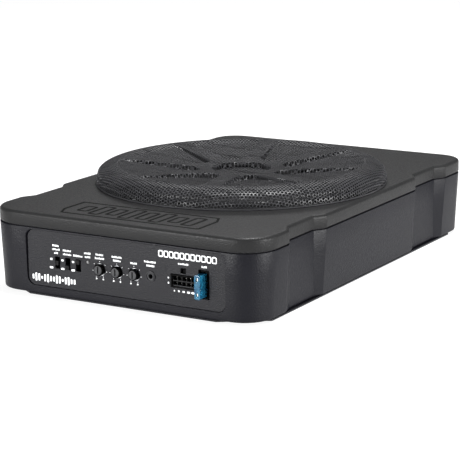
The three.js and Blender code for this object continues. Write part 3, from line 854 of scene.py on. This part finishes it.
def make_panel():
    half_x, half_z = SLOT_HALF
    holes = [rounded_rectangle(around(x, half_x), around(z, half_z), 0.3, 3) for x, z in HOUSINGS]
    holes += [circle(x, z, KNOB_HOLE, 40) for x, z in KNOBS]
    holes.append(circle(LED_X, LED_Z, 1.8, 20))
    holes.append(circle(JACK_X, JACK_Z, 3.9, 32))
    holes.append(rounded_rectangle((header_low[0] - 0.3, header_high[0] + 0.3),
                                   (header_low[2] - 0.3, header_high[2] + 0.3), 0.4, 3))
    holes.append(rounded_rectangle(*LATCH, 0.3, 3))
    holes.append(rounded_rectangle(*FUSE_HOLE, 0.5, 3))
    x = (panel_low[0] + 0.6, panel_high[0])
    rim = rounded_rectangle(x, (panel_low[2], panel_high[2]), PANEL_CORNER, 12)
    panel = plate("control_panel_plate", [rim, *holes], (PANEL_FACE, PANEL_BACK), PANEL_PLASTIC, 0.2, 8)
    place(panel, SHELL, "moulded_black", "control_panel")


def print_mark(outline, things):
    things.append(plate(f"mark_{len(things)}", [outline], PRINT_Y, WHITE_PRINT, 0.01))


def legend(x, z, height, things, seed):
    """A row of short strokes that stands in for a printed word."""
    chance = random.Random(seed)
    left = x[0]
    while left < x[1] - 0.5:
        width = min(chance.uniform(0.6, 1.15), x[1] - left)
        tall = height * chance.choice((0.75, 1.0, 1.0))
        foot = z - height / 2
        print_mark(rounded_rectangle((left, left + width), (foot, foot + tall), 0.2, 2), things)
        left += width + STROKE_GAP


def legend_rows():
    """(left, right, height on the panel) of every printed word."""
    s1, s2, s3 = (x for x, _ in HOUSINGS)
    return [
        (s1 - 4.6, s1 + 2.4, 43.0), (s1 - 4.6, s1 + 2.6, 40.0), (s1 - 3.0, s1 + 1.4, 37.0),
        (s2 - 4.4, s2 + 3.8, 40.0), (s2 - 4.4, s2 + 3.8, 37.0),
        (s3 - 4.6, s3 + 4.2, 37.0),
        (LED_X - 3.3, LED_X + 3.6, 40.2), (LED_X - 2.6, LED_X + 2.6, 37.2),
        (KNOBS[0][0] - 3.6, KNOBS[0][0] + 3.4, 40.4), (KNOBS[0][0] - 4.4, KNOBS[0][0] + 4.4, 37.5),
        (KNOBS[1][0] - 4.6, KNOBS[1][0] + 4.8, 40.4), (KNOBS[1][0] - 3.4, KNOBS[1][0] + 3.8, 37.5),
        (KNOBS[2][0] - 3.2, KNOBS[2][0] + 3.2, 37.4),
        (JACK_X - 5.8, JACK_X + 4.8, 40.3), (JACK_X - 3.8, JACK_X + 3.4, 37.2),
        (54.8, 64.0, 42.2), (76.0, 80.6, 42.2),
    ]


def print_switch_marks(things):
    """Two position labels beside each slide switch."""
    for (x, _), gap in zip(HOUSINGS, (6.0, 5.2, 5.0)):
        middle = x - gap
        print_mark(rounded_rectangle((middle - 1.1, middle + 1.1), (30.8, 32.4), 0.5, 3), things)
        print_mark(rounded_rectangle((middle - 1.6, middle + 1.6), (23.9, 25.5), 0.5, 3), things)


def print_knob_dots(things):
    """Seven dots round each knob, and two under it."""
    ring = 6.6
    for x, z in KNOBS:
        for step in range(-3, 4):
            angle = math.radians(90 + 50 * step)
            dot = circle(x + ring * math.cos(angle), z + ring * math.sin(angle), 0.3, 12)
            print_mark(dot, things)
        for side in (-1, 1):
            print_mark(circle(x + side * 3.2, 20.9, 0.7, 14), things)


def make_print():
    things = []
    for seed, (left, right, z) in enumerate(legend_rows()):
        legend((left, right), z, TEXT_HEIGHT, things, seed)
    print_switch_marks(things)
    print_knob_dots(things)
    for i, x in enumerate((51.2, 55.2, 59.6, 64.0, 68.2)):
        half = 0.5 + 0.27 * i
        print_mark(rounded_rectangle((x - half, x + half), (19.6, 21.0), 0.4, 3), things)
    for z in (30.0, 25.9):
        print_mark(circle(45.9, z, 0.7, 14), things)
    print_wave_mark(things)
    print_meter_mark(things)
    place(combine("panel_print", things), SHELL, "moulded_black")


def print_wave_mark(things):
    """A plain sound-wave device: solid upright bars of swelling and falling height."""
    count = 15
    first = -83.2
    length = 40.4
    middle = 15.2
    for i in range(count):
        x = first + length * i / (count - 1)
        swell = 0.32 + 0.68 * abs(math.sin(0.9 * i + 0.4))
        half = 3.4 * swell
        print_mark(rounded_rectangle((x - 0.85, x + 0.85), (middle - half, middle + half), 0.6, 3), things)


def print_meter_mark(things):
    """A plain level-meter device: a row of outlined cells."""
    count = 11
    width = 53.0 / count
    for i in range(count):
        left = 36.8 + width * i
        rim = rounded_rectangle((left + 0.25, left + width - 0.25), (45.6, 51.0), 1.2, 4)
        hollow = rounded_rectangle((left + 1.15, left + width - 1.15), (46.6, 50.0), 0.6, 4)
        things.append(plate(f"cell_{i}", [rim, hollow], PRINT_Y, WHITE_PRINT, 0.01))


def make_switches():
    for i in (1, 2, 3):
        low, high = node_box(f"switch_slider_{i}")
        outline = rounded_rectangle((low[0], high[0]), (low[2], high[2]), 0.35, 3)
        base = plate(f"slider_base_{i}", [outline], (low[1] + 0.5, high[1]), NYLON, 0.15)
        ridges = []
        pitch = (high[2] - low[2]) / 3
        for k in range(3):
            z = low[2] + pitch * (k + 0.5)
            ridges.append(block(f"ridge_{i}_{k}", (low[0], high[0]), (low[1], low[1] + 0.8),
                                (z - 0.33 * pitch, z + 0.33 * pitch), NYLON, 0.15))
        slider = combine(f"slide_button_{i}", [base, *ridges])
        place(slider, f"slide_switch_{i}", "control_black", f"switch_slider_{i}")


def make_knobs():
    for i, (x, z) in enumerate(KNOBS, 1):
        low, high = node_box(f"knob_{i}")
        front, back = low[1], high[1]
        radius = (high[0] - low[0]) / 2
        flutes = 20
        per_flute = 8
        count = flutes * per_flute
        angles = np.arange(count) * 2 * math.pi / count
        dip = 0.22 * (0.5 + 0.5 * np.cos(flutes * angles))
        rings = []
        wall = [(back, 0.3, 0), (back - 0.3, 0.0, 1), (front + 1.0, 0.0, 1), (front + 0.55, 0.12, 0.6)]
        rim = [(front + 0.25, 0.5, 0), (front + 0.2, 0.75, 0), (front + 0.8, 0.8, 0)]
        for y, shrink, fluted in wall + rim:
            ring = radius - shrink - dip * fluted
            around = [x + ring * np.cos(angles), np.full(count, y), z + ring * np.sin(angles)]
            rings.append(np.stack(around, -1))
        # The skirt takes the near-black, not the knob's grey: painted shade on the knob's side.
        skirt = mesh_object(f"knob_skirt_{i}", *loft(rings), BLACK_AND_WELL_SHADE)
        slot = rounded_rectangle((x - 0.5, x + 0.5), (z - 2.9, z + 2.9), 0.45, 4)
        face = [circle(x, z, radius - 0.9, 48), slot]
        cap = plate(f"knob_cap_{i}", face, (front, front + 0.75), KNOB_GREY, 0.12)
        place(skirt, f"level_knob_{i}", "knob_grey", f"knob_{i}")
        place(cap, f"level_knob_{i}", "knob_grey")


def make_jack_and_light():
    front = PANEL_FACE
    ring = turned("jack_ring", [
        (1.9, front + 1.2), (1.95, front - 0.35), (2.3, front - 0.55), (2.9, front - 0.5),
        (3.0, front - 0.1), (3.35, front - 0.1), (3.45, front - 0.7), (3.8, front - 0.88),
        (4.2, front - 0.75), (4.3, front - 0.3), (3.5, front - 0.3), (3.5, PANEL_BACK + 1),
        (1.9, PANEL_BACK + 1),
    ], KNOB_GREY, (JACK_X, JACK_Z), "Y", 48)
    place(ring, SHELL, "control_black")
    low, high = node_box("remote_jack")
    depth = (PANEL_BACK + 0.4, high[1])
    socket = block("jack_socket", (low[0], high[0]), depth, (low[2], high[2]), NYLON, 0.4)
    hole = [(0, front - 2), (1.9, front - 2), (1.9, high[1] - 2), (0, high[1] - 2)]
    bore = turned("jack_bore", hole, NYLON, (JACK_X, JACK_Z), "Y", 32)
    place(boolean(socket, [bore]), SHELL, "control_black", "remote_jack")
    back = node_box("power_led")[1][1]
    angles = np.linspace(0, math.pi / 2, 8)
    dome = [(1.5 * math.sin(a), front - 0.5 + 0.7 * (1 - math.cos(a))) for a in angles]
    flange = [(1.5, PANEL_BACK + 0.4), (2, PANEL_BACK + 0.4), (2, back), (0, back)]
    lens = turned("power_light", dome + flange, SMOKED_LENS, (LED_X, LED_Z), "Y", 32)
    place(lens, SHELL, "led_lens", "power_led")


def header_places():
    """(row, column, x, z) of the header's ten contacts."""
    middle_x = (header_low[0] + header_high[0]) / 2
    middle_z = (header_low[2] + header_high[2]) / 2
    return [(row, column, middle_x + 4.2 * (column - 2), middle_z + 2.1 * row)
            for row in (-1, 1) for column in range(5)]


def make_header():
    low, high = header_low, header_high
    front = low[1]
    wall = 1.1
    rim = rounded_rectangle((low[0], high[0]), (low[2], high[2]), 0.5, 4)
    mouth = rounded_rectangle((low[0] + wall, high[0] - wall), (low[2] + wall, high[2] - wall), 0.3, 3)
    # The shroud, the back and the latch take the near-black: black parts, darkened further as painted shade
    # inside the header.
    shroud = plate("header_shroud", [rim, mouth], (front, -172), BLACK_AND_WELL_SHADE, 0.2)
    place(shroud, SHELL, "control_black", "harness_header")
    lap = wall - 0.1
    core_rim = rounded_rectangle((low[0] + lap, high[0] - lap), (low[2] + lap, high[2] - lap), 0.3, 3)
    cells = [rounded_rectangle(around(x, 1.75), around(z, 1.55), 0.35, 3) for _, _, x, z in header_places()]
    core = plate("header_core", [core_rim, *cells], (front + 1.1, -174.6), NYLON, 0.2)
    place(core, SHELL, "control_black")
    inside_x = (low[0] + 0.6, high[0] - 0.6)
    inside_z = (low[2] + 0.6, high[2] - 0.6)
    back = block("header_back", inside_x, (-174.8, -173), inside_z, BLACK_AND_WELL_SHADE)
    place(back, SHELL, "control_black")
    ledge_x = (low[0] + 2.4, high[0] - 2.2)
    ledge = block("header_ledge", ledge_x, (front + 0.5, front + 2.4), (24.15, 24.8), KNOB_GREY, 0.15)
    place(ledge, SHELL, "control_black")
    pins = [block(f"pin_{row}_{column}", around(x, 0.5), (-183, -174.7), around(z, 0.5), TINNED, 0.2)
            for row, column, x, z in header_places()]
    place(combine("header_pins", pins), SHELL, "zinc_steel")
    latch_x = (LATCH[0][0] + 0.5, LATCH[0][1] - 0.5)
    latch_z = (LATCH[1][0] - 1.2, LATCH[1][1] - 1.4)
    latch = block("header_latch", latch_x, (PANEL_BACK + 0.3, -178), latch_z, BLACK_AND_WELL_SHADE)
    place(latch, SHELL, "control_black")


def make_fuse():
    low, high = fuse_low, fuse_high
    middle_x = (low[0] + high[0]) / 2
    middle_z = (low[2] + high[2]) / 2
    half_x = (high[0] - low[0]) / 2
    front = low[1]
    back = front + 12
    windows = [rounded_rectangle(around(middle_x, 0.75), around(middle_z + side * 6, 1.4), 0.5, 4)
               for side in (-1, 1)]
    outline = rounded_rectangle(around(middle_x, half_x), (low[2], high[2]), 1.5, 6)
    head = plate("head", [outline, *windows], (front, front + 1.6), FUSE_BLUE, 0.45)
    neck = rounded_rectangle(around(middle_x, half_x - 0.55), (low[2] + 0.7, high[2] - 0.7), 1.2, 6)
    body = plate("neck", [neck], (front + 1.5, back), FUSE_BLUE, 0.3)
    rib_x = around(middle_x, half_x - 0.15)
    rib_y = (front + 1.4, back - 0.6)
    ribs = [block(f"fuse_rib_{k}", rib_x, rib_y, around(middle_z + z, 0.8), FUSE_BLUE, 0.3)
            for k, z in enumerate((-8.4, -2.6, 2.6, 8.4))]
    place(combine("fuse_body", [head, body, *ribs]), "blade_fuse", "fuse_blue", "fuse")
    contact_x = around(middle_x, 0.55)
    contact_y = (front + 0.7, front + 1.5)
    contacts = [block(f"contact_{s}", contact_x, contact_y, around(middle_z + s * 6, 1.2), TINNED, 0.2)
                for s in (-1, 1)]
    blade_x = around(middle_x, 0.35)
    blade_y = (back - 0.4, high[1])
    blades = [block(f"blade_{s}", blade_x, blade_y, around(middle_z + s * 6.4, 2.5), TINNED, 0.3)
              for s in (-1, 1)]
    place(combine("fuse_contacts", contacts + blades), "blade_fuse", "zinc_steel")


make_panel()
make_print()
make_switches()
make_knobs()
make_jack_and_light()
make_header()
make_fuse()

# ---- Driver ---------------------------------------------------------------------------------------


def make_driver():
    base = node_box("cone")[1][2]
    cone = turned("driver_cone", [
        (27.8, 44), (40, 47.2), (60, 53.4), (79.8, 60.2), (83, 61.8), (86, 62.3), (86, base), (82.6, 63.1),
        (79.4, 61.6), (60, 54.9), (40, 48.7), (27.8, 45.4),
    ], PULP, segments=128)
    place(cone, CONE_BODY, "pulp_cone", "cone")
    cap = turned("driver_dust_cap", [
        (0, 54.5), (8, 54.2), (14, 53.8), (21, 52.9), (27, 51.6), (32, 50.2), (36.5, 48.6), (37.2, 48.9),
        (37, 49.6), (33, 51.3), (28, 53), (21, 54.4), (14.5, 55.2), (8, 55.8), (0, 56),
    ], PULP, segments=128)
    place(cap, CONE_BODY, "pulp_cone", "dust_cap")
    make_surround(node_box("surround")[0][2])
    make_spider()


def make_surround(base):
    """A half roll in two pieces that meet at the crest."""
    centre = 92.8
    outer_radius, inner_radius, lip = 7.3, 6.3, 1.0

    def arc(radius, first, last):
        angles = np.linspace(first, last, 13)
        return [(centre + radius * math.cos(a), base + max(0, radius * math.sin(a))) for a in angles]

    reach = outer_radius + 0.6
    fixed = turned("surround_outer", [
        *arc(inner_radius, math.pi / 2, 0), (108.5, base), (108.5, base + lip),
        (centre + reach, base + lip), *arc(outer_radius, math.radians(8), math.pi / 2),
    ], RUBBER, segments=160)
    moving = turned("surround_inner", [
        *arc(outer_radius, math.pi / 2, math.radians(172)), (centre - reach, base + lip),
        (80.5, base + lip), (80.5, base), *arc(inner_radius, math.pi, math.pi / 2),
    ], RUBBER, segments=160)
    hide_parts("surround")
    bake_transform(fixed)
    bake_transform(moving)


def make_spider():
    """A cupped, corrugated cloth disc: glued flat to the frame outside, to the coil inside."""
    inner, ledge, rim = 28.2, 57.0, 62.2
    low, high, cloth, waves = 40.5, 43.2, 0.5, 4
    steps = 48

    def height(radius):
        along = (ledge - radius) / (ledge - inner)
        return low + (high - low) * along + 0.35 * math.sin(2 * math.pi * waves * along)

    radii = [ledge + (inner - ledge) * i / steps for i in range(steps + 1)]
    top = [(rim, low), (rim - 0.3, low + 0.2), *[(r, height(r)) for r in radii]]
    under = [(r, z - cloth) for r, z in reversed(top)]
    disc = turned("spider_disc", [*under, *top], SPIDER_CLOTH, segments=96)
    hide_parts("spider")
    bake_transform(disc)


make_driver()

# ---- CAD nodes that keep their own shape ------------------------------------------------------------


def numbered(name, count):
    return [f"{name}_{i}" for i in range(1, count + 1)]


KEPT = {
    RUBBER: ["cover_gasket", "driver_gasket"],
    ZINC: ["back_plate", "top_plate", *numbered("driver_screw", 8), *numbered("cover_screw", 6),
           *numbered("pot_body", 3)],
    BLACK_STEEL: ["driver_basket"],
    FERRITE: ["magnet"],
    COPPER: ["voice_coil", "filter_choke"],
    # The fuse holder and the switch housings take the near-black: black parts, darkened further as painted
    # shade in their wells.
    BLACK_AND_WELL_SHADE: ["fuse_holder", *numbered("switch_housing", 3)],
    NYLON: ["driver_terminals", *numbered("output_transistor", 4), *numbered("filter_capacitor", 2)],
    BOARD: ["amp_board"],
    ALUMINIUM: ["heat_sink"],
}
for material, names in KEPT.items():
    for name in names:
        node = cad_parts[name]
        node.data.materials.clear()
        node.data.materials.append(material)

# ---- Floor, world and lights --------------------------------------------------------------------------


def make_floor():
    size = 6
    drop = -0.0003
    mesh = bpy.data.meshes.new("floor")
    corners = [(-size, -size, drop), (size, -size, drop), (size, size, drop), (-size, size, drop)]
    mesh.from_pydata(corners, [], [(0, 1, 2, 3)])
    floor = bpy.data.objects.new("floor", mesh)
    bpy.context.scene.collection.objects.link(floor)
    paper = new_material("floor", (0.22, 0.22, 0.22), 0.9, specular=0.1)
    shader = paper.node_tree.nodes["Principled BSDF"]
    shader.inputs["Emission Color"].default_value = (1, 1, 1, 1)
    shader.inputs["Emission Strength"].default_value = 0.88
    mesh.materials.append(paper)


def area_light(name, location, target, size, power):
    data = bpy.data.lights.new(name, "AREA")
    data.shape = "RECTANGLE"
    data.size, data.size_y = size
    data.energy = power
    light = bpy.data.objects.new(name, data)
    light.location = location
    direction = Vector(target) - Vector(location)
    light.rotation_euler = direction.to_track_quat("-Z", "Y").to_euler()
    bpy.context.scene.collection.objects.link(light)


def make_light():
    """Dim grey surroundings, two low soft boxes for the sides, one behind and one overhead."""
    world = bpy.data.worlds.new("world")
    bpy.context.scene.world = world
    world.use_nodes = True
    tree = world.node_tree
    background = tree.nodes["Background"]
    background.inputs["Strength"].default_value = 1.0
    coordinates = tree.nodes.new("ShaderNodeTexCoord")
    split = tree.nodes.new("ShaderNodeSeparateXYZ")
    tree.links.new(coordinates.outputs["Generated"], split.inputs["Vector"])
    shades = tree.nodes.new("ShaderNodeValToRGB")
    elements = shades.color_ramp.elements
    elements[0].position = 0.3
    elements[0].color = (0.08, 0.08, 0.08, 1)
    elements[1].position = 0.55
    elements[1].color = (0.15, 0.15, 0.15, 1)
    tree.links.new(split.outputs["Z"], shades.inputs["Fac"])
    tree.links.new(shades.outputs["Color"], background.inputs["Color"])
    box_middle = (0, 0, 0.05)
    area_light("right", (2.0, -0.05, 0.24), box_middle, (1.1, 0.42), 62)
    area_light("left", (-0.7, -1.8, 0.24), box_middle, (1.0, 0.42), 50)
    area_light("rear", (-0.9, 1.6, 1.4), box_middle, (1.0, 0.6), 6.5)
    area_light("top", (0.1, 0.2, 1.6), (0.05, -0.12, 0.05), (0.6, 0.6), 52)


make_floor()
make_light()
bpy.context.scene.view_settings.view_transform = "Standard"
